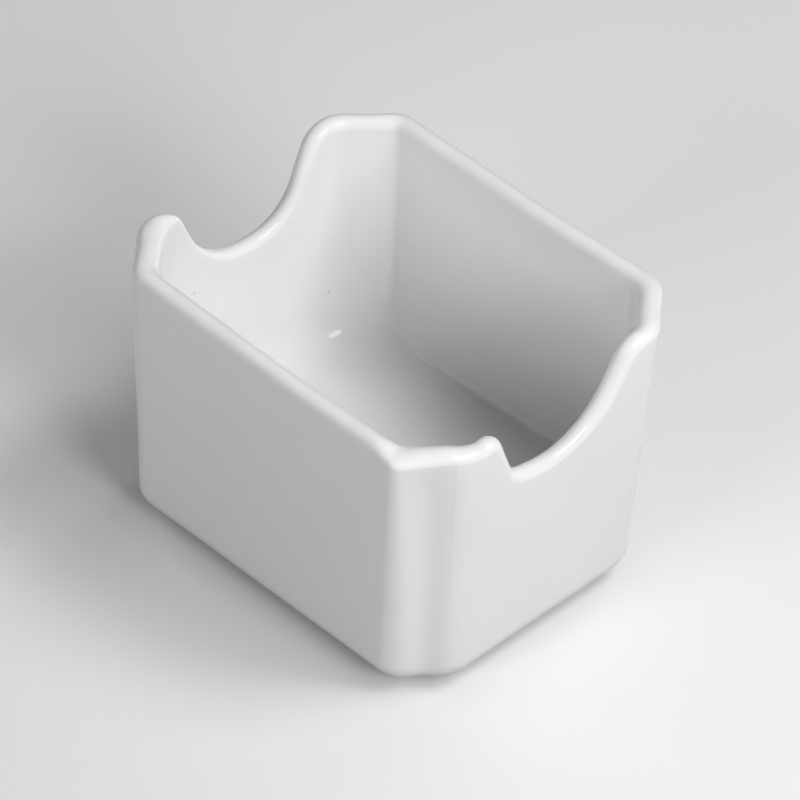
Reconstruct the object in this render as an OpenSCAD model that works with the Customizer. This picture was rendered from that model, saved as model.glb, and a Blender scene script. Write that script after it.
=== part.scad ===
/* [Body] */
// Length over the two end walls, at the rim
body_l = 90; // [78:1:120]
// Width over the two side walls, at the rim
body_w = 75.8; // [68:0.1:100]
// Height from the foot to the top of the rim
body_h = 65.5; // [50:0.1:85]

/* [Walls] */
// Thickness of the rolled rim and of the walls below it
wall_t = 4.3; // [3:0.1:5.5]
// Thickness of the wall behind each cut corner
cut_t = 5; // [3:0.1:6]
// How far the end walls lean in at the foot
end_draft = 1.3; // [0:0.1:3]
// How far the side walls lean in at the foot
side_draft = 3.4; // [0:0.1:5]
// How far the cut corners lean in at the foot
cut_draft = 2.6; // [0.5:0.1:4]
// How far the inside faces lean in at the foot
inside_draft = 0.5; // [0:0.1:1.5]
// How far the inside of the cut corners leans in at the foot
inside_cut_draft = 1.4; // [0:0.1:3]

/* [Cut corners] */
// Length of a corner cut, measured along the side wall
cut_l = 10.1; // [8:0.1:13]
// Length of a corner cut, measured along the end wall
cut_w = 11.7; // [10:0.1:13]
// Depth of the shallow hollow down each cut corner
cut_hollow = 0.4; // [0:0.05:0.8]
// Radius of the edge between cut corner and side wall, at the rim
side_edge_r = 5.4; // [1:0.1:6]
// Radius of the edge between cut corner and end wall, at the rim
end_edge_r = 7.7; // [3:0.1:8]
// Radius of the edge between cut corner and side wall, at the foot
side_edge_foot_r = 5.2; // [1:0.1:6]
// Radius of the edge between cut corner and end wall, at the foot
end_edge_foot_r = 5.9; // [2:0.1:8]
// Radius inside, between cut corner and end wall
inside_end_r = 7; // [1:0.1:8]
// Radius inside, between cut corner and side wall
inside_side_r = 4; // [1:0.1:5]

/* [Finger scoops] */
// Depth of the finger scoop in each end wall
scoop_d = 18; // [8:0.1:24]
// Slope of the flanks of a scoop, in degrees
scoop_slope = 66; // [50:1:75]
// Radius of the rounded shoulders of a scoop
shoulder_r = 7.4; // [3:0.1:9]
// Level rim from the end of a shoulder to where end wall and cut corner would meet
corner_land = 2.4; // [0.5:0.1:6]

/* [Floor and foot] */
// Thickness of the floor
floor_t = 7.2; // [4:0.1:9]
// Radius of the fillet between floor and end walls, and at the cut corners
floor_end_r = 8; // [2:0.1:9]
// Radius of the fillet between floor and side walls
floor_side_r = 1.5; // [0.5:0.1:5]
// Height of the rounded lower edge outside
foot_round_h = 7; // [4:0.1:12]
// Inset of the rounded lower edge outside
foot_round_in = 8.5; // [4:0.1:9]
// Width of the foot ring that the holder stands on
foot_w = 4.4; // [2.5:0.1:8]
// Depth of the recess inside the foot ring
recess_d = 3.4; // [1:0.1:5]
// Radius of the corners of the recess
recess_edge_r = 2; // [0.5:0.1:3]

/* [Hidden] */

half_l = body_l / 2;
half_w = body_w / 2;
lip_r = wall_t / 2;
floor_z = recess_d + floor_t;
overrun = 1;
right_angle = 90;
half_turn = 2 * right_angle;

// Steps along the scoop, round an upright edge, across a cut corner and along half a side wall
scoop_steps = 20;
edge_steps = 6;
cut_steps = 6;
side_steps = 2;
// Steps over the rim, round the foot and round the floor
lip_steps = 10;
foot_steps = 7;
fillet_steps = 8;

// Outward direction of a cut corner, as an angle and as a unit vector
cut_angle = atan2(cut_l, cut_w);
cut_dir = [cos(cut_angle), sin(cut_angle)];
// Distance of the cut corner's face from the middle, at the rim
cut_reach = cut_dir * [half_l, half_w - cut_w];

function mix(a, b, share) = a + (b - a) * share;

// Where an upright edge starts and ends on its two faces is its radius times this
end_turn = tan(cut_angle / 2);
side_turn = tan((right_angle - cut_angle) / 2);

// Sharp corner between end wall and cut corner, for faces moved in by the given insets
function end_corner(in_end, in_cut) =
    [half_l - in_end, (cut_reach - in_cut - cut_dir.x * (half_l - in_end)) / cut_dir.y];

// Sharp corner between side wall and cut corner
function side_corner(in_side, in_cut) =
    [(cut_reach - in_cut - cut_dir.y * (half_w - in_side)) / cut_dir.x, half_w - in_side];

// Points round an upright edge, from the face at angle from_a to the face at angle to_a
function edge_arc(corner, r, from_a, to_a) =
    let (middle = (from_a + to_a) / 2)
    let (centre = corner - r / cos((to_a - from_a) / 2) * [cos(middle), sin(middle)])
    [for (i = [0:edge_steps])
        let (a = mix(from_a, to_a, i / edge_steps))
        centre + r * [cos(a), sin(a)]];

// A quarter of an outline, from the middle of the end wall to the middle of the side wall
function quarter(in_end, in_side, in_cut, end_r, side_r, hollow) =
    let (e = end_corner(in_end, in_cut), s = side_corner(in_side, in_cut))
    let (end_arc = edge_arc(e, end_r, 0, cut_angle))
    let (side_arc = edge_arc(s, side_r, cut_angle, right_angle))
    let (straight = min(straight_half, end_arc[0].y))
    let (from = end_arc[edge_steps], to = side_arc[0], last = side_arc[edge_steps])
    concat(
        [for (i = [0:scoop_steps - 1]) [e.x, mix(0, straight, i / scoop_steps)]],
        end_arc,
        [for (i = [1:cut_steps - 1])
            let (share = i / cut_steps)
            mix(from, to, share) - cut_dir * hollow * 4 * share * (1 - share)],
        side_arc,
        [for (i = [1:side_steps]) [mix(last.x, 0, i / side_steps), s.y]]);

// Half of the straight stretch that the outside and the inside of an end wall share at the rim
straight_half = min(
    end_corner(0, 0).y - end_edge_r * end_turn,
    end_corner(wall_t, cut_t).y - inside_end_r * end_turn);

// A scoop and its shoulders take up the end wall as far as the corner's land
scoop_half = end_corner(0, 0).y - corner_land;
shoulder_run = shoulder_r * tan(scoop_slope / 2);
flank_foot = scoop_half - shoulder_run;
scoop_r = (flank_foot - scoop_d / tan(scoop_slope)) / tan(scoop_slope / 2);
bowl_half = scoop_r * sin(scoop_slope);
shoulder_start = flank_foot - shoulder_run * cos(scoop_slope);

// Slope of the rim at a distance y from the middle of the end wall
function rim_slope(y) =
    y < bowl_half ? asin(y / scoop_r) :
    y < shoulder_start ? scoop_slope :
    y < scoop_half ? asin((scoop_half - y) / shoulder_r) : 0;

// Drop of the rim below its full height at the same place
function rim_drop(y) =
    y < bowl_half ? scoop_d - scoop_r * (1 - cos(rim_slope(y))) :
    y < shoulder_start ? (flank_foot - y) * tan(scoop_slope) :
    y < scoop_half ? shoulder_r * (1 - cos(rim_slope(y))) : 0;

// Outlines at the rim, and where the leaning faces would meet the ground
outer_rim = quarter(0, 0, 0, end_edge_r, side_edge_r, cut_hollow);
outer_foot = quarter(end_draft, side_draft, cut_draft, end_edge_foot_r, side_edge_foot_r, cut_hollow);
inner_rim = quarter(wall_t, wall_t, cut_t, inside_end_r, inside_side_r, 0);
inner_foot = quarter(wall_t + inside_draft, wall_t + inside_draft, cut_t + inside_cut_draft,
    inside_end_r, inside_side_r, 0);
columns = len(outer_rim);

function raised(p, z) = [p.x, p.y, z];

// Angle at step j of a quarter turn that is made in the given number of steps
function quarter_angle(j, steps) = right_angle * j / steps;

// Outline of the rounded lower edge at an angle, from flat on the ground to upright on the wall
function foot_height(a) = foot_round_h * (1 - cos(a));
function foot_outline(a) =
    let (inset = foot_round_in * (1 - sin(a)), lean = 1 - foot_height(a) / body_h)
    quarter(end_draft * lean + inset, side_draft * lean + inset, cut_draft * lean + inset,
        mix(end_edge_r, end_edge_foot_r, lean), mix(side_edge_r, side_edge_foot_r, lean), cut_hollow);
foot_outlines = [for (j = [0:foot_steps]) foot_outline(quarter_angle(j, foot_steps))];

// The floor's fillet is wide at the end walls and cut corners, and narrow along the side walls
narrow_from = columns - 1 - side_steps;
function narrow_share(i) = min(max((i - narrow_from) / edge_steps + 1, 0), 1);
function fillet_r(i) = mix(floor_end_r, floor_side_r, narrow_share(i));

// Outline of the floor fillet at an angle, from upright on the wall to flat on the floor
function fillet_outline(a) =
    let (end_inset = floor_end_r * (1 - cos(a)), side_inset = floor_side_r * (1 - cos(a)))
    let (lean = 1 - (floor_z + floor_end_r * (1 - sin(a))) / body_h)
    quarter(wall_t + inside_draft * lean + end_inset, wall_t + inside_draft * lean + side_inset,
        cut_t + inside_cut_draft * lean + end_inset, inside_end_r, inside_side_r, 0);
fillet_outlines = [for (j = [0:fillet_steps]) fillet_outline(quarter_angle(j, fillet_steps))];

// The rim of column i: a half round across the wall, square to the rim's own slope
function lip(i) =
    let (out = outer_rim[i], inn = inner_rim[i])
    let (middle = (out + inn) / 2, across = (out - inn) / 2)
    let (slope = rim_slope(middle.y), top = body_h - rim_drop(middle.y))
    let (up = [0, -sin(slope), cos(slope)])
    let (core = raised(middle, top) - lip_r * up)
    [for (j = [0:lip_steps])
        let (a = half_turn * j / lip_steps)
        let (p = core + cos(a) * raised(across, 0) + lip_r * sin(a) * up)
        let (lean = 1 - p.z / body_h)
        let (shift = mix(outer_foot[i] - out, inner_foot[i] - inn, (1 - cos(a)) / 2) * lean)
        p + raised(shift, 0)];

// One column of the shell, from the foot ring up the outside, over the rim and down to the floor
function column(i) =
    concat(
        [for (j = [0:foot_steps])
            raised(foot_outlines[j][i], foot_height(quarter_angle(j, foot_steps)))],
        lip(i),
        [for (j = [0:fillet_steps])
            raised(fillet_outlines[j][i],
                floor_z + fillet_r(i) * (1 - sin(quarter_angle(j, fillet_steps))))]);

function mirrored(points, sx, sy) = [for (p = points) [sx * p.x, sy * p.y, p.z]];

// The quarter repeated round the body, without the columns that two quarters share
shell_quarter = [for (i = [0:columns - 1]) column(i)];
shell = concat(
    shell_quarter,
    [for (i = [columns - 2:-1:0]) mirrored(shell_quarter[i], -1, 1)],
    [for (i = [1:columns - 1]) mirrored(shell_quarter[i], -1, -1)],
    [for (i = [columns - 2:-1:1]) mirrored(shell_quarter[i], 1, -1)]);
around = len(shell);
rows = len(shell[0]);

shell_points = concat(
    [for (c = shell) each c],
    [[0, 0, 0], [0, 0, floor_z]]);
base_middle = around * rows;
floor_middle = base_middle + 1;

function at(c, r) = (c % around) * rows + r;

shell_faces = concat(
    [for (c = [0:around - 1], r = [0:rows - 2]) [at(c, r), at(c, r + 1), at(c + 1, r + 1)]],
    [for (c = [0:around - 1], r = [0:rows - 2]) [at(c, r), at(c + 1, r + 1), at(c + 1, r)]],
    [for (c = [0:around - 1]) [at(c, 0), at(c + 1, 0), base_middle]],
    [for (c = [0:around - 1]) [at(c, rows - 1), floor_middle, at(c + 1, rows - 1)]]);

// A flat outline with all four corners, from a quarter of it
function closed(q) = concat(
    q,
    [for (i = [len(q) - 2:-1:0]) [-q[i].x, q[i].y]],
    [for (i = [1:len(q) - 1]) [-q[i].x, -q[i].y]],
    [for (i = [len(q) - 2:-1:1]) [q[i].x, -q[i].y]]);

recess_in = foot_round_in + foot_w;
recess_outline = closed(quarter(end_draft + recess_in, side_draft + recess_in, cut_draft + recess_in,
    recess_edge_r, recess_edge_r, 0));

module holder() {
    color("white")
    difference() {
        polyhedron(shell_points, shell_faces, convexity = 6);
        translate([0, 0, -overrun])
            linear_extrude(recess_d + overrun)
                polygon(recess_outline);
    }
}

holder();
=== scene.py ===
"""Sugar packet holder: glazed porcelain box on a pale studio floor."""
import math

import bpy
import numpy as np
from mathutils import Matrix, Vector


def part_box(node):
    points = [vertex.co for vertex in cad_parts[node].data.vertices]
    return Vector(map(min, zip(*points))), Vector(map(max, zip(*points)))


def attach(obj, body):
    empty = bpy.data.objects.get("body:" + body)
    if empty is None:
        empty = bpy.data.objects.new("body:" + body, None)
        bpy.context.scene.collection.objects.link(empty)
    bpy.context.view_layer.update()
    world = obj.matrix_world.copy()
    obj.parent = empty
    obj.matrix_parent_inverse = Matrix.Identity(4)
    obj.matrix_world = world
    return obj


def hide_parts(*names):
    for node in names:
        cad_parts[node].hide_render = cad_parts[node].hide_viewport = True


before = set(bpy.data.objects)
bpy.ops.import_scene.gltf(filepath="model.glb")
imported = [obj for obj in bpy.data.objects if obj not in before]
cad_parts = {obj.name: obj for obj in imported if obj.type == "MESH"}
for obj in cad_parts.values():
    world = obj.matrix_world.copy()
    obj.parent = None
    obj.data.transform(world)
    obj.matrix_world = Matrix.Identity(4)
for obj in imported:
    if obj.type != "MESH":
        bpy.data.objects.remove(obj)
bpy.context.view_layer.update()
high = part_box("holder")[1]

MM = 0.001

# Walls and rolled rim, in metres
WALL_T = 4.35 * MM
END_T = 4.15 * MM
LIP_R = 2.15 * MM
CUT_LIP_R = 2.5 * MM
# How far each outside face leans in at the foot
END_DRAFT = 1.3 * MM
SIDE_DRAFT = 3.6 * MM
CUT_DRAFT = 2.6 * MM
# How far each inside face leans in at the foot
IN_DRAFT = 0.4 * MM
IN_CUT_DRAFT = 1.3 * MM
# The mean rim stays this far below the solid's top, which the highest corner of the rim reaches
RIM_BELOW = 0.9 * MM
HEIGHT = high.z - RIM_BELOW
# The rim is rounded, and its widest line lies a little inside the sharp outline
HALF_L = high.x + END_DRAFT * LIP_R / HEIGHT
HALF_W = high.y + SIDE_DRAFT * LIP_R / HEIGHT
# Even cut corner: its lengths along the side wall and the end wall, and the wall behind it
CUT_L = 10.1 * MM
CUT_W = 11.75 * MM
CUT_T = 4.3 * MM
# The hollow in its outside: depth at the rim, and from where to where below the rim it deepens
HOLLOW_RIM = 0.1 * MM
HOLLOW_FROM = 2.5 * MM
HOLLOW_TO = 9.0 * MM
# The corners were fettled by hand, each a little differently. They stand in order round the body,
# in mm. The first figure of a pair is at the rim, and the second at the foot or the floor:
# - cut: the lengths along the side wall and the end wall
# - end_r, side_r: radii of the outside edges to those walls
# - in_end_r, in_side_r: radii of the inside edges to them
# - wall, hollow: the wall behind the cut, and how deep its outside is hollowed
CORNERS = {
    "right": {"cut": ((10.1, 11.75), (10.1, 11.75)), "end_r": (7.7, 5.9), "side_r": (5.6, 5.2),
              "in_end_r": (6.0, 13.0), "in_side_r": (8.5, 3.0), "wall": 5.0, "hollow": 0.5},
    "far": {"cut": ((10.1, 11.75), (10.1, 11.75)), "end_r": (7.7, 5.9), "side_r": (5.6, 5.2),
            "in_end_r": (6.0, 13.0), "in_side_r": (2.4, 3.0), "wall": 4.0, "hollow": 0.5},
    "left": {"cut": ((10.1, 11.35), (10.1, 11.5)), "end_r": (7.7, 5.9), "side_r": (5.6, 5.2),
             "in_end_r": (12.0, 13.0), "in_side_r": (5.0, 3.0), "wall": 5.1, "hollow": 0.4},
    "near": {"cut": ((8.3, 13.4), (9.2, 11.75)), "end_r": (12.0, 7.0), "side_r": (2.4, 6.0),
             "in_end_r": (6.0, 13.0), "in_side_r": (4.0, 3.0), "wall": 5.1, "hollow": 0.85},
}
# Rounded lower edge: its height and how far in it goes. Then the foot ring and the recess
FOOT_H = 7.0 * MM
FOOT_IN = 8.5 * MM
FOOT_W = 4.4 * MM
FOOT_EDGE_R = 2.3 * MM
RECESS_D = 3.4 * MM
RECESS_R = 0.9 * MM
# Floor inside: height in the middle, rise towards the side walls and towards +X, and its fillets
FLOOR_Z = 10.4 * MM
FLOOR_RISE = 0.5 * MM
FLOOR_TILT = 0.9 * MM
FLOOR_END_R = 8.0 * MM
FLOOR_SIDE_R = 1.2 * MM

# Finger scoops, finished by hand: a flat bowl in the middle, and flanks that each have their own
# radius, slope and shoulder, and a brow where the shoulder runs out into the rim. A scoop's key is
# the sign of x at its end wall, and a flank's is the sign of y seen from the lowest point.
BOWL_SLOPE = math.radians(15)
BROW_SLOPE = math.radians(25)
SCOOPS = {
    1: {"depth": 16.93 * MM, "shift": -0.92 * MM,
        -1: {"bowl": 29.6 * MM, "radius": 6.5 * MM, "slope": 68.1,
             "shoulder": 4.4 * MM, "brow": 24 * MM},
        1: {"bowl": 16.9 * MM, "radius": 18.4 * MM, "slope": 61.0,
            "shoulder": 6.7 * MM, "brow": 6.7 * MM}},
    -1: {"depth": 18.7 * MM, "shift": 2.1 * MM,
         -1: {"bowl": 22.5 * MM, "radius": 19.2 * MM, "slope": 64.1,
              "shoulder": 5.3 * MM, "brow": 5.3 * MM},
         1: {"bowl": 16.0 * MM, "radius": 11.6 * MM, "slope": 68.8,
             "shoulder": 7.0 * MM, "brow": 7.0 * MM}},
}
# Warp from the kiln: rise of the rim at +X, at +Y and across, and sag of the long rims
RISE_X = -0.55 * MM
RISE_Y = -0.05 * MM
RISE_XY = 0.52 * MM
SAG = 0.54 * MM
SAG_STEEPNESS = 1.6
# The cut corner at +X and -Y stands a little lower than its neighbours
NEAR_DIP = 1.18 * MM
DIP_X = (31.0 * MM, 35.1 * MM)
DIP_Y = (18.4 * MM, 21.4 * MM)
DIP_POWER = 6
# Slow unevenness of all faces: how far they fall short of the even shape, over what length, and
# the direction in which the waves of x and those of y run
UNEVEN = 0.08 * MM
WAVE = 31.0 * MM
WAVE_ALONG = ((0.2, 1.0, 0.7), (0.9, 0.3, -0.6))
# The same for the rolled rim alone, where the glaze gathered. Each of its ripples has a direction
# and the angle through which it goes in one length.
RIM_UNEVEN = 0.07 * MM
RIM_WAVE = 7.5 * MM
RIPPLES = ((1.0, 0.4, 2 * math.pi), (0.6, -1.0, 4.0), (0.3, 0.8, 5.0))
# How quickly the rim's share grows from the walls to its crown: 1 is slow, and smaller is quicker
CROWN_POWER = 0.5

# Steps of the mesh. Inside and on the underside there are rows at these shares of the way out.
N_END = 40
N_GAP = 6
N_EDGE = 12
N_CUT = 18
N_SIDE = 20
N_FOOT = 14
N_LIP = 24
N_FILLET = 14
N_WALL = 14
N_UNDER = 6
SHARES_IN = (0.25, 0.5, 0.75, 0.94)


class Cut:
    """Plane of a cut corner: angle and direction of its outward normal, and its distance."""

    def __init__(self, cut_l, cut_w):
        self.angle = math.atan2(cut_l, cut_w)
        self.normal = np.array([math.cos(self.angle), math.sin(self.angle)])
        self.reach = float(self.normal @ np.array([HALF_L, HALF_W - cut_w]))


CUT = Cut(CUT_L, CUT_W)


def mix(a, b, t):
    return a + (b - a) * t


def smooth(a, b, v):
    """0 before a, 1 after b and a smooth turn between them."""
    t = np.clip((v - a) / (b - a), 0, 1)
    return t * t * (3 - 2 * t)


def corner_end(in_end, in_cut, cut=CUT):
    """Where an end wall and a cut would meet, each set inwards by so much."""
    x = HALF_L - in_end
    return np.array([x, (cut.reach - in_cut - cut.normal[0] * x) / cut.normal[1]])


def corner_side(in_side, in_cut, cut=CUT):
    """Where a side wall and a cut would meet, each set inwards by so much."""
    y = HALF_W - in_side
    return np.array([(cut.reach - in_cut - cut.normal[1] * y) / cut.normal[0], y])


def edge_arc(corner, r, a0, a1):
    """Rounding of a corner between two faces whose normals have these angles."""
    mid = (a0 + a1) / 2
    centre = corner - r / math.cos((a1 - a0) / 2) * np.array([math.cos(mid), math.sin(mid)])
    a = np.linspace(a0, a1, N_EDGE + 1)
    return centre + r * np.c_[np.cos(a), np.sin(a)]


# The columns in the middle of an end wall stand square to it. They take up this share of the
# straight stretch inside the rim, reckoned with an edge of this radius.
SQUARE_SHARE = 0.93
SQUARE_EDGE_R = 6.0 * MM
SQUARE_END = SQUARE_SHARE * edge_arc(corner_end(END_T, CUT_T), SQUARE_EDGE_R, 0.0, CUT.angle)[0, 1]


def quarter(in_end, in_side, in_cut, end_r, side_r, cut=CUT):
    """A quarter of an outline, from the middle of the end wall to the middle of the side wall."""
    e, s = corner_end(in_end, in_cut, cut), corner_side(in_side, in_cut, cut)
    arc_e = edge_arc(e, end_r, 0.0, cut.angle)
    arc_s = edge_arc(s, side_r, cut.angle, math.pi / 2)
    square = min(SQUARE_END, SQUARE_SHARE * arc_e[0, 1])
    y = np.r_[np.linspace(0, square, N_END + 1)[:-1],
              np.linspace(square, arc_e[0, 1], N_GAP + 1)[:-1]]
    flat = mix(arc_e[-1], arc_s[0], np.linspace(0, 1, N_CUT + 1)[1:-1, None])
    x = np.linspace(arc_s[-1, 0], 0, N_SIDE + 1)[1:]
    end_wall, side_wall = np.c_[np.full(len(y), e[0]), y], np.c_[x, np.full(N_SIDE, s[1])]
    return np.vstack([end_wall, arc_e, flat, arc_s, side_wall])


def ring(right, far, left, near):
    """Outline of all four quarters, without the columns that two quarters share."""
    return np.concatenate([right, (far * [-1, 1])[-2::-1], (left * [-1, -1])[1:],
                           (near * [1, -1])[-2:0:-1]])


def per_column(right, far=None, left=None, near=None):
    """Figures of all four quarters, which are the same unless given."""
    far, left, near = (right if q is None else q for q in (far, left, near))
    return np.concatenate([right, far[-2::-1], left[1:], near[-2:0:-1]])


N_QUARTER = N_END + N_GAP + (N_EDGE + 1) + (N_CUT - 1) + (N_EDGE + 1) + N_SIDE
CUT_FROM = N_END + N_GAP + N_EDGE
CUT_TO = CUT_FROM + N_CUT
# Columns along the side wall in which the floor's wide fillet turns into the narrow one
TURN_COLUMNS = 7

# Per column: direction and share of the hollow, its depth, the shares of the side wall and of the
# cut, the radius of the rim, and whether it belongs to an end wall with its scoop
column = np.arange(N_QUARTER)
across_cut = np.sin(np.pi * np.clip((column - CUT_FROM) / N_CUT, 0, 1)) ** 2
hollow_share = ring(*[across_cut[:, None] * -CUT.normal] * 4)
hollow_wall = per_column(*[np.full(N_QUARTER, c["hollow"] * MM) for c in CORNERS.values()])
side_share = per_column(smooth(CUT_TO + N_EDGE, CUT_TO + N_EDGE + TURN_COLUMNS, column))
cut_share = per_column(smooth(CUT_FROM - N_EDGE, CUT_FROM, column)
                       - smooth(CUT_TO, CUT_TO + N_EDGE, column))
lip_r = mix(LIP_R, CUT_LIP_R, cut_share)[:, None]
end_column = per_column(column <= CUT_FROM)


def scoop(y, depth, flank):
    """Drop and slope of the rim at distances y from the lowest point of a scoop."""
    steep, bowl, r = math.radians(flank["slope"]), flank["bowl"], flank["radius"]
    shoulder, brow = flank["shoulder"], flank["brow"]

    def arc(y_from, drop_from, radius, slope_from, turn):
        """Rim along an arc that starts with a slope and turns steeper (1) or flatter (-1)."""
        t = np.arcsin(np.clip(math.sin(slope_from) + turn * (y - y_from) / radius, 0, 1))
        return drop_from - turn * radius * (math.cos(slope_from) - np.cos(t)), t

    bowl_end = bowl * math.sin(BOWL_SLOPE)
    bowl_drop = depth - bowl * (1 - math.cos(BOWL_SLOPE))
    side_end = bowl_end + r * (math.sin(steep) - math.sin(BOWL_SLOPE))
    side_drop = bowl_drop - r * (math.cos(BOWL_SLOPE) - math.cos(steep))
    brow_drop = brow * (1 - math.cos(BROW_SLOPE))
    top_drop = brow_drop + shoulder * (math.cos(BROW_SLOPE) - math.cos(steep))
    straight_end = side_end + (side_drop - top_drop) / math.tan(steep)
    shoulder_end = straight_end + shoulder * (math.sin(steep) - math.sin(BROW_SLOPE))
    parts = [(bowl_end, arc(0, depth, bowl, 0, 1)),
             (side_end, arc(bowl_end, bowl_drop, r, BOWL_SLOPE, 1)),
             (straight_end, (side_drop - (y - side_end) * math.tan(steep), np.full_like(y, steep))),
             (shoulder_end, arc(straight_end, top_drop, shoulder, steep, -1)),
             (np.inf, arc(shoulder_end, brow_drop, brow, BROW_SLOPE, -1))]
    drop, slope = parts[-1][1]
    for end, (d, t) in parts[-2::-1]:
        drop, slope = np.where(y < end, d, drop), np.where(y < end, t, slope)
    return drop, slope


def outer_ring(lean, inset=0.0):
    """Outline of the outside: lean is 0 at the rim and 1 at the foot."""
    return ring(*[quarter(
        END_DRAFT * lean + inset, SIDE_DRAFT * lean + inset, CUT_DRAFT * lean + inset,
        mix(*c["end_r"], lean) * MM, mix(*c["side_r"], lean) * MM,
        Cut(*(mix(top, foot, lean) * MM for top, foot in zip(*c["cut"])))) for c in CORNERS.values()])


def inner_ring(lean, end_inset=0.0, side_inset=0.0):
    """Outline of the inside, with the same lean."""
    return ring(*[quarter(
        END_T + IN_DRAFT * lean + end_inset, WALL_T + IN_DRAFT * lean + side_inset,
        c["wall"] * MM + IN_CUT_DRAFT * lean + end_inset,
        mix(*c["in_end_r"], lean) * MM, mix(*c["in_side_r"], lean) * MM) for c in CORNERS.values()])


def under_ring(inset):
    """Outline on the underside, so far in from the foot of the walls."""
    return ring(*[quarter(
        END_DRAFT + inset, SIDE_DRAFT + inset, CUT_DRAFT + inset, FOOT_EDGE_R, FOOT_EDGE_R,
        Cut(*(v * MM for v in c["cut"][1]))) for c in CORNERS.values()])


def level(outline, z):
    """Points of an outline at a height, or at a height for each."""
    return np.c_[outline, np.broadcast_to(z, len(outline))]


def underside():
    """Ceiling of the recess, its rounded wall and the flat foot ring."""
    inset = FOOT_IN + FOOT_W
    for share in SHARES_IN:
        yield level(under_ring(inset + RECESS_R) * share, RECESS_D)
    for a in np.linspace(math.pi / 2, 0, N_UNDER):
        yield level(under_ring(inset + RECESS_R * math.sin(a)),
                    RECESS_D - RECESS_R * (1 - math.sin(a)))
    for a in np.linspace(0, math.pi / 2, N_UNDER):
        yield level(under_ring(inset - RECESS_R * (1 - math.cos(a))), RECESS_R * (1 - math.sin(a)))


def foot_rounding():
    """The rounded lower edge, from the foot ring up to the walls."""
    for a in np.linspace(0, math.pi / 2, N_FOOT + 1):
        z = FOOT_H * (1 - math.cos(a))
        yield level(outer_ring(1 - z / HEIGHT, FOOT_IN * (1 - math.sin(a))), z)


def lip():
    """The rolled rim, row by row from the outside to the inside."""
    po, pi = outer_ring(0.0), inner_ring(0.0)
    shift_o, shift_i = outer_ring(1.0) - po, inner_ring(1.0) - pi
    mid, across = (po + pi) / 2, (po - pi) / 2
    drop, slope, side = np.zeros(len(po)), np.zeros(len(po)), np.zeros(len(po))
    for end in (-1, 1):
        y = mid[:, 1] - SCOOPS[end]["shift"]
        for flank in (-1, 1):
            m = end_column & (np.sign(po[:, 0]) == end) & (np.sign(y) == flank)
            drop[m], slope[m] = scoop(np.abs(y[m]), SCOOPS[end]["depth"], SCOOPS[end][flank])
            side[m] = flank
    up = np.c_[np.zeros(len(po)), -side * np.sin(slope), np.cos(slope)]
    core = np.c_[mid, HEIGHT - drop] - lip_r * up
    for a in np.linspace(0, math.pi, N_LIP + 1):
        p = core + math.cos(a) * np.c_[across, np.zeros(len(po))] + lip_r * math.sin(a) * up
        lean = (1 - p[:, 2] / HEIGHT)[:, None]
        p[:, :2] += mix(shift_o, shift_i, (1 - math.cos(a)) / 2) * lean
        yield p


def floor_fillet():
    """The rounding between walls and floor, from the walls down, wide to the end walls."""
    r = mix(FLOOR_END_R, FLOOR_SIDE_R, side_share)
    for a in np.linspace(0, math.pi / 2, N_FILLET + 1):
        lean = 1 - (FLOOR_Z + FLOOR_END_R * (1 - math.sin(a))) / HEIGHT
        drop_in = 1 - math.cos(a)
        yield level(inner_ring(lean, FLOOR_END_R * drop_in, FLOOR_SIDE_R * drop_in),
                    FLOOR_Z + r * (1 - math.sin(a)))


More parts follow.
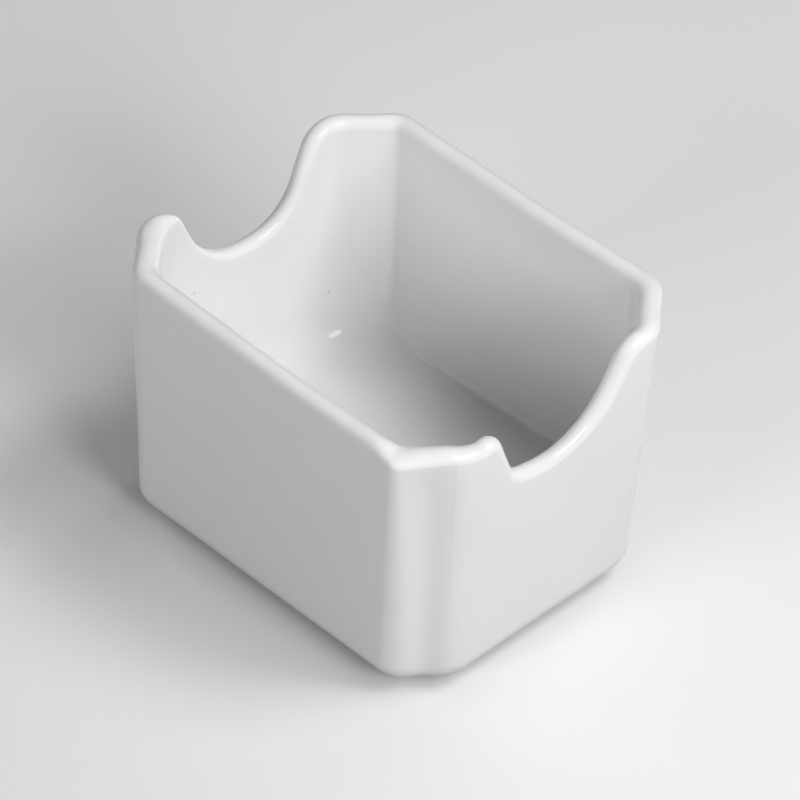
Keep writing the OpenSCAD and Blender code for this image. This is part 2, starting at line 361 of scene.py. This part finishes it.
def build():
    """Points and faces of the body, each point's share of the rim, and which faces are unglazed."""
    rows, rim = [], []

    def add(points, weight=0.0):
        rows.append(points)
        rim.append(np.full(len(points), weight))

    for p in underside():
        add(p)
    bare_from = len(rows) - 1
    for p in foot_rounding():
        add(p)
    lips = list(lip())
    base = rows[-1]
    for share in np.linspace(0, 1, N_WALL + 1)[1:-1]:
        add(mix(base, lips[0], share))
    for k, p in enumerate(lips):
        add(p, math.sin(math.pi * k / N_LIP) ** CROWN_POWER)
    last_outer = len(rows) - N_LIP // 2
    fillets = list(floor_fillet())
    for share in np.linspace(0, 1, N_WALL + 1)[1:-1]:
        add(mix(lips[-1], fillets[0], share))
    for p in fillets:
        add(p)
    for share in SHARES_IN[::-1]:
        add(fillets[-1] * [share, share, 1])

    grid = np.array(rows)
    x, y, z = grid[..., 0].copy(), grid[..., 1].copy(), grid[..., 2].copy()
    h = z / HEIGHT
    above_foot = smooth(0, FOOT_H, z)
    above_foot[:bare_from + 1] = 0
    # Hollow of the cut corners outside, which the rim and the foot don't share
    deep = mix(HOLLOW_RIM, hollow_wall, smooth(HOLLOW_FROM, HOLLOW_TO, HEIGHT - z)) * above_foot
    deep[last_outer:] = 0
    grid[..., :2] += hollow_share * deep[..., None]
    # Floor: a little higher along the side walls and towards +X
    inside = np.zeros(len(rows))
    inside[last_outer:] = 1
    near_floor = 1 - smooth(FLOOR_Z, FLOOR_Z + FLOOR_END_R, z)
    rise = FLOOR_RISE * (y / HALF_W) ** 2 + FLOOR_TILT * x / HALF_L
    grid[..., 2] += rise * near_floor * inside[:, None]
    # Warp and sag of the rim, and the corner that is lower
    warp = RISE_X * x / HALF_L + RISE_Y * y / HALF_W + RISE_XY * x * y / (HALF_L * HALF_W)
    grid[..., 2] += warp * h
    along = np.clip(np.abs(x) / (HALF_L - CUT_L), 0, 1)
    on_side = np.clip((np.abs(y) - (HALF_W - CUT_W)) / CUT_W * SAG_STEEPNESS, 0, 1)
    grid[..., 2] -= SAG * (1 - along ** 2) * on_side * h ** 2
    grid[..., 2] -= NEAR_DIP * smooth(*DIP_X, x) * smooth(*DIP_Y, -y) * h ** DIP_POWER

    # Hand-finished faces: all fall a little short of the even shape, here more and there less
    for axis, (a, b, c) in enumerate(WAVE_ALONG):
        wave = 1 + np.sin((a * x + b * y + c * z) * 2 * math.pi / WAVE)
        grid[..., axis] -= np.sign(grid[..., axis]) * UNEVEN / 2 * wave * above_foot
    one, two, three = (np.sin((a * x + b * y) * angle / RIM_WAVE) for a, b, angle in RIPPLES)
    grid[..., 2] -= RIM_UNEVEN / 2 * (2 + one * two + three) * np.array(rim)

    n_rows, n = grid.shape[:2]
    verts = np.vstack([grid.reshape(-1, 3), [[0, 0, RECESS_D], [0, 0, FLOOR_Z]]])
    idx = np.arange(n_rows * n).reshape(n_rows, n)
    a, b = idx[:-1], idx[1:]
    quads = np.stack([a, np.roll(a, -1, 1), np.roll(b, -1, 1), b], -1).reshape(-1, 4)
    under, middle = n_rows * n, n_rows * n + 1
    first, last = idx[0], idx[-1]
    faces = [tuple(map(int, q)) for q in quads]
    faces += [(under, int(q), int(p)) for p, q in zip(first, np.roll(first, -1))]
    faces += [(middle, int(p), int(q)) for p, q in zip(last, np.roll(last, -1))]
    weights = np.append(np.concatenate(rim), [0.0, 0.0])
    bare = np.zeros(len(faces), bool)
    bare[bare_from * n:(bare_from + 1) * n] = True
    return verts, faces, weights, bare


verts, faces, rim_weight, bare_faces = build()
mesh = bpy.data.meshes.new("holder_body")
mesh.from_pydata(verts.tolist(), [], faces)
mesh.update()
rim_attr = mesh.attributes.new("rim", "FLOAT", "POINT")
rim_attr.data.foreach_set("value", rim_weight.astype(np.float32))
mesh.shade_smooth()
body = bpy.data.objects.new("holder_body", mesh)
bpy.context.scene.collection.objects.link(body)


def material(name):
    """A new material, its node tree and its shader."""
    m = bpy.data.materials.new(name)
    m.use_nodes = True
    return m, m.node_tree, m.node_tree.nodes["Principled BSDF"]


def node(tree, kind, values, **settings):
    """A new node, with its settings, and a figure or another node's output for each named input."""
    made = tree.nodes.new("ShaderNode" + kind)
    for name, setting in settings.items():
        setattr(made, name, setting)
    for name, value in values.items():
        if isinstance(value, bpy.types.NodeSocket):
            tree.links.new(value, made.inputs[name])
        else:
            made.inputs[name].default_value = value
    return made


def noise(tree, scale, detail=3.0):
    place = node(tree, "TexCoord", {}).outputs["Object"]
    return node(tree, "TexNoise", {"Vector": place, "Scale": scale, "Detail": detail}).outputs["Fac"]


def graded(tree, value, start, end, low_value=0.0, high_value=1.0):
    """Value between start and end, turned smoothly into a figure between the last two."""
    return node(tree, "MapRange", {"Value": value, "From Min": start, "From Max": end,
                                   "To Min": low_value, "To Max": high_value},
                interpolation_type="SMOOTHSTEP").outputs["Result"]


def times(tree, a, b):
    return node(tree, "Math", {0: a, 1: b}, operation="MULTIPLY").outputs[0]


def blend(tree, share, a, b):
    """Colour a, turning into colour b with the share."""
    return node(tree, "Mix", {0: share, 6: a, 7: b}, data_type="RGBA").outputs[2]


# Glaze: a faint drift of tone, a warmer and thinner coat on the rim, and a few fine specks
GLAZE_COOL = (0.778, 0.802, 0.784, 1)
GLAZE_WARM = (0.796, 0.808, 0.786, 1)
THIN_GLAZE = (0.790, 0.772, 0.728, 1)
SPECK = (0.34, 0.30, 0.24, 1)
GLAZE_IOR = 1.5
TONE_SCALE = 26.0
TONE_RANGE = (0.35, 0.65)
THIN_SCALE = 95.0
THIN_SHARE = 0.75
CROWN_RANGE = (0.6, 1.0)
WIDE_RANGE = (0.3, 0.7)
PEEL_SCALE = 260.0
PEEL_DETAIL = 1.0
PEEL_DEPTH = 0.035 * MM
SPECK_CELLS = 150.0
SPECK_SIZE = (0.03, 0.055)
SPECK_RARE = 0.9
SPECK_SHARE = 0.5
GLAZE_ROUGHNESS = (0.07, 0.13)

glaze, tree, shader = material("glaze")
shader.inputs["IOR"].default_value = GLAZE_IOR
drift = noise(tree, TONE_SCALE)
tone = blend(tree, graded(tree, drift, *TONE_RANGE), GLAZE_COOL, GLAZE_WARM)
on_rim = node(tree, "Attribute", {}, attribute_name="rim").outputs["Fac"]
patchy = graded(tree, noise(tree, THIN_SCALE), *WIDE_RANGE, 0.0, THIN_SHARE)
tone = blend(tree, times(tree, graded(tree, on_rim, *CROWN_RANGE), patchy), tone, THIN_GLAZE)
place = node(tree, "TexCoord", {}).outputs["Object"]
cells = node(tree, "TexVoronoi", {"Vector": place, "Scale": SPECK_CELLS})
chosen = node(tree, "SeparateColor", {0: cells.outputs["Color"]}).outputs[0]
rare = node(tree, "Math", {0: chosen, 1: SPECK_RARE}, operation="GREATER_THAN").outputs[0]
spot = graded(tree, cells.outputs["Distance"], *SPECK_SIZE, SPECK_SHARE, 0.0)
tone = blend(tree, times(tree, rare, spot), tone, SPECK)
tree.links.new(tone, shader.inputs["Base Color"])
tree.links.new(graded(tree, drift, *WIDE_RANGE, *GLAZE_ROUGHNESS), shader.inputs["Roughness"])
peel = node(tree, "Bump", {"Strength": 1.0, "Distance": PEEL_DEPTH,
                           "Height": noise(tree, PEEL_SCALE, PEEL_DETAIL)})
tree.links.new(peel.outputs[0], shader.inputs["Normal"])

# Foot ring: bare fired body, dry and finely grained, a little soiled from use
BARE = (0.76, 0.74, 0.70, 1)
SOILED = (0.60, 0.57, 0.52, 1)
GRAIN_SCALE = 2400.0
GRAIN_DEPTH = 0.03 * MM
SOIL_SCALE = 120.0
SOIL_DETAIL = 4.0
SOIL_RANGE = (0.4, 0.75)
BARE_ROUGHNESS = (0.7, 0.9)

bisque, tree, shader = material("foot_bisque")
soil = graded(tree, noise(tree, SOIL_SCALE, SOIL_DETAIL), *SOIL_RANGE)
tree.links.new(blend(tree, soil, BARE, SOILED), shader.inputs["Base Color"])
grain = noise(tree, GRAIN_SCALE)
tree.links.new(graded(tree, grain, *WIDE_RANGE, *BARE_ROUGHNESS), shader.inputs["Roughness"])
rough = node(tree, "Bump", {"Strength": 1.0, "Distance": GRAIN_DEPTH, "Height": grain})
tree.links.new(rough.outputs[0], shader.inputs["Normal"])
mesh.materials.append(glaze)
mesh.materials.append(bisque)
mesh.polygons.foreach_set("material_index", bare_faces.astype(np.int32))
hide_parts("holder")
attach(body, "root")

# Floor: pale to the camera and in reflections, darker in the light that it throws back
FLOOR_HALF = 3.0
PALE = (0.792, 0.810, 0.784, 1)
DIM = (0.30, 0.307, 0.297, 1)
FLOOR_ROUGHNESS = 0.9
floor_mesh = bpy.data.meshes.new("floor")
corners = [(-1, -1), (1, -1), (1, 1), (-1, 1)]
floor_points = [(FLOOR_HALF * a, FLOOR_HALF * b, 0) for a, b in corners]
floor_mesh.from_pydata(floor_points, [], [(0, 1, 2, 3)])
floor = bpy.data.objects.new("floor", floor_mesh)
bpy.context.scene.collection.objects.link(floor)
floor_paint, tree, shader = material("floor")


def seen_or_mirrored(tree):
    """1 for rays from the camera and for mirrored and transmitted ones, else 0."""
    path = node(tree, "LightPath", {}).outputs
    seen = path["Is Camera Ray"]
    for other in ("Is Glossy Ray", "Is Transmission Ray"):
        seen = node(tree, "Math", {0: seen, 1: path[other]}, operation="MAXIMUM").outputs[0]
    return seen


tree.links.new(blend(tree, seen_or_mirrored(tree), DIM, PALE), shader.inputs["Base Color"])
shader.inputs["Roughness"].default_value = FLOOR_ROUGHNESS
floor_mesh.materials.append(floor_paint)

# World: it gives little light, and is pale where the camera sees it past the floor
WORLD_SHADE = (0.9, 0.9, 0.9, 1)
WORLD_LIGHT = 0.02
WORLD_SEEN = 0.8
world = bpy.data.worlds.new("studio")
bpy.context.scene.world = world
world.use_nodes = True
tree = world.node_tree
background = tree.nodes["Background"]
background.inputs["Color"].default_value = WORLD_SHADE
camera_ray = node(tree, "LightPath", {}).outputs["Is Camera Ray"]
strength = node(tree, "Mix", {0: camera_ray, 2: WORLD_LIGHT, 3: WORLD_SEEN})
tree.links.new(strength.outputs[0], background.inputs["Strength"])

# Azimuth from -Y towards +X and elevation in degrees, distance, width and height in metres, and
# power in watts of each soft box, and whether it shows in the glaze
LAMPS = {
    "key": (102, 46, 0.45, 0.27, 0.11, 0.50, True),
    "side": (80, 30, 1.2, 0.45, 0.45, 6.8, False),
    "front": (0, 22, 1.2, 0.45, 0.45, 4.4, False),
    "high": (130, 62, 1.2, 0.45, 0.45, 5.5, False),
    "back": (190, 34, 1.2, 0.45, 0.45, 1.7, False),
    "left": (-50, 22, 1.2, 0.45, 0.45, 1.0, False),
    "far": (260, 14, 1.2, 0.45, 0.45, 1.5, False),
}
LAMP_COLOUR = (0.99, 0.968, 1.0)
LAMP_AIM = Vector((0, 0, 30.0 * MM))


def towards(azimuth, elevation):
    """Direction with an azimuth from -Y towards +X, and an elevation."""
    flat = math.cos(elevation)
    return Vector((math.sin(azimuth) * flat, -math.cos(azimuth) * flat, math.sin(elevation)))


for name, (azimuth, elevation, distance, width, height, power, mirrored) in LAMPS.items():
    data = bpy.data.lights.new(name, "AREA")
    data.shape = "RECTANGLE"
    data.size, data.size_y = width, height
    data.energy = power
    data.color = LAMP_COLOUR
    box = bpy.data.objects.new(name, data)
    box.location = towards(math.radians(azimuth), math.radians(elevation)) * distance
    box.rotation_euler = (LAMP_AIM - box.location).to_track_quat("-Z", "Y").to_euler()
    box.visible_glossy = mirrored
    bpy.context.scene.collection.objects.link(box)

# Camera, fitted to the photograph: angles, aim, distance, scale and shift of the picture. The fit
# has a length unit of its own.
AZ, EL, ROLL = (math.radians(v) for v in (42.51, 41.13, 3.5))
AIM = Vector((0, 0, 27.0 * MM))
UNIT = 0.9 * MM
DISTANCE = 1261.77 * UNIT
PIXELS_PER_UNIT = 4.58
OFFSET = Vector((2.371 * UNIT, 4.539 * UNIT, DISTANCE))
PICTURE_PIXELS = 800
SENSOR_WIDTH = 36.0
CLIP_END = 20
back = towards(AZ, EL)
right = Vector((math.cos(AZ), math.sin(AZ), 0))
up = back.cross(right)
right, up = (right * math.cos(ROLL) + up * math.sin(ROLL),
             up * math.cos(ROLL) - right * math.sin(ROLL))
turn = Matrix((right, up, back)).transposed()
cam_data = bpy.data.cameras.new("camera")
cam_data.sensor_width = SENSOR_WIDTH
cam_data.lens = PIXELS_PER_UNIT / UNIT * DISTANCE / PICTURE_PIXELS * SENSOR_WIDTH
cam_data.clip_end = CLIP_END
cam = bpy.data.objects.new("camera", cam_data)
cam.matrix_world = Matrix.Translation(AIM + turn @ OFFSET) @ turn.to_4x4()
bpy.context.scene.collection.objects.link(cam)
bpy.context.scene.camera = cam
bpy.context.scene.view_settings.view_transform = "Standard"
